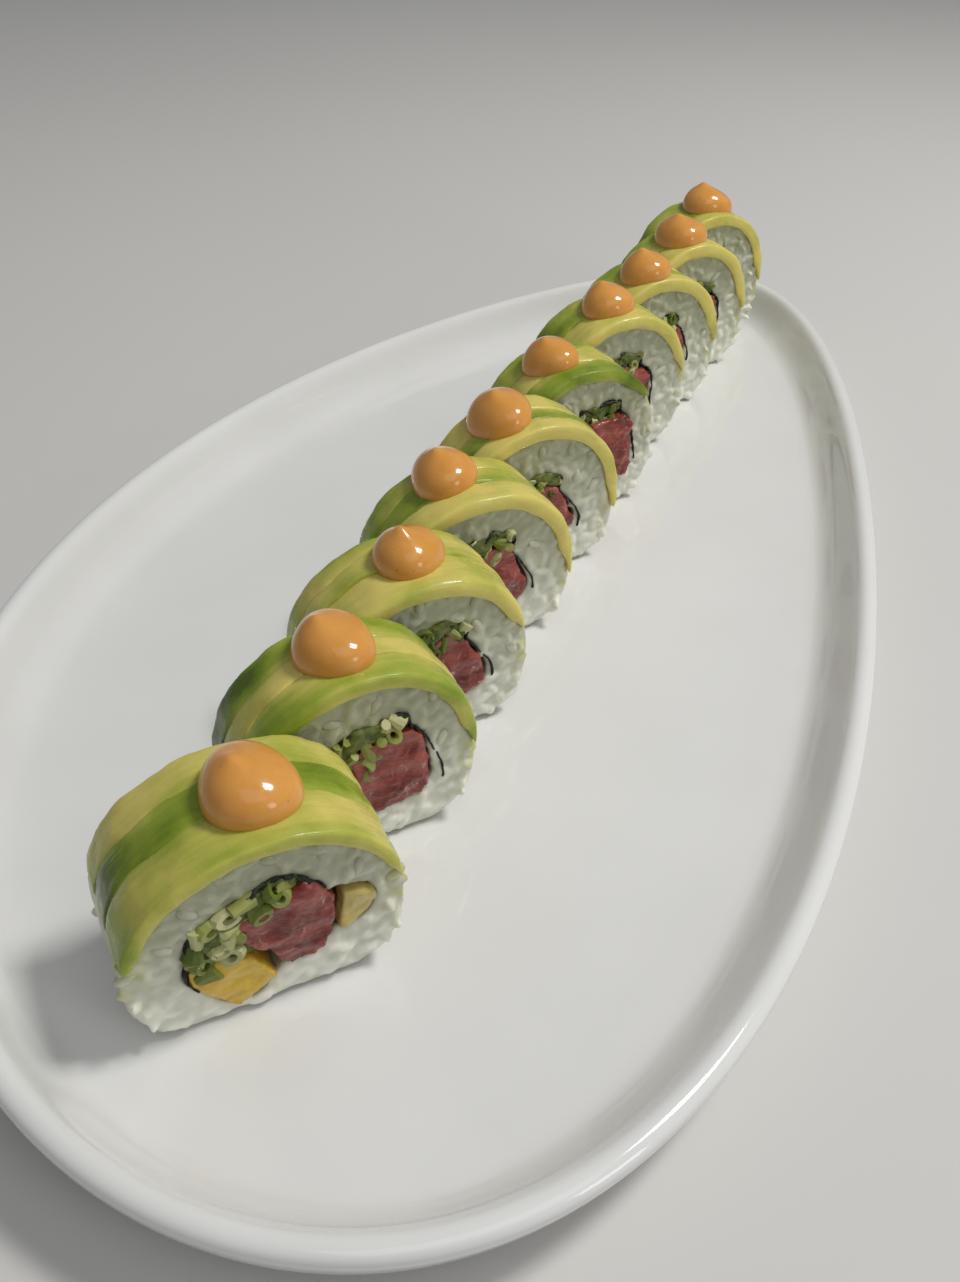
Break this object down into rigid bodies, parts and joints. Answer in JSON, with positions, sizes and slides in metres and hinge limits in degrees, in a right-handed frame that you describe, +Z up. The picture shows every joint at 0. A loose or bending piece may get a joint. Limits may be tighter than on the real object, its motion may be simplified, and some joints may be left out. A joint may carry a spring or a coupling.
{
  "type": "plate of uramaki roll slices",
  "caption": "Egg-shaped porcelain plate with a slanting row of inside-out rice roll slices under avocado and sauce.",
  "frame": {"origin": "middle of the footprint's box, on the surface the plate stands on", "axes": "+Z up, +Y along the plate towards its narrow end"},
  "size_m": [0.1926, 0.384, 0.058],
  "materials": {
    "porcelain": "glazed",
    "rice": "moist",
    "avocado": "moist",
    "sauce": "glossy",
    "tuna": "moist",
    "greens": "moist",
    "mango": "moist",
    "pale_mango": "moist"
  },
  "bodies": {
    "root": {"plate": "porcelain", "avocado_01": "avocado", "avocado_02": "avocado", "avocado_03": "avocado", "avocado_04": "avocado", "avocado_05": "avocado", "avocado_06": "avocado", "avocado_07": "avocado", "avocado_08": "avocado", "avocado_09": "avocado", "avocado_10": "avocado", "greens_01": "greens", "greens_02": "greens", "greens_03": "greens", "greens_04": "greens", "greens_05": "greens", "greens_06": "greens", "greens_07": "greens", "greens_08": "greens", "greens_09": "greens", "greens_10": "greens", "mango_01": "mango", "pale_mango_01": "pale_mango", "rice_01": "rice", "rice_02": "rice", "rice_03": "rice", "rice_04": "rice", "rice_05": "rice", "rice_06": "rice", "rice_07": "rice", "rice_08": "rice", "rice_09": "rice", "rice_10": "rice", "sauce_01": "sauce", "sauce_02": "sauce", "sauce_03": "sauce", "sauce_04": "sauce", "sauce_05": "sauce", "sauce_06": "sauce", "sauce_07": "sauce", "sauce_08": "sauce", "sauce_09": "sauce", "sauce_10": "sauce", "tuna_01": "tuna", "tuna_02": "tuna", "tuna_03": "tuna", "tuna_04": "tuna", "tuna_05": "tuna", "tuna_06": "tuna", "tuna_07": "tuna", "tuna_08": "tuna", "tuna_09": "tuna", "tuna_10": "tuna"}
  },
  "joints": []
}
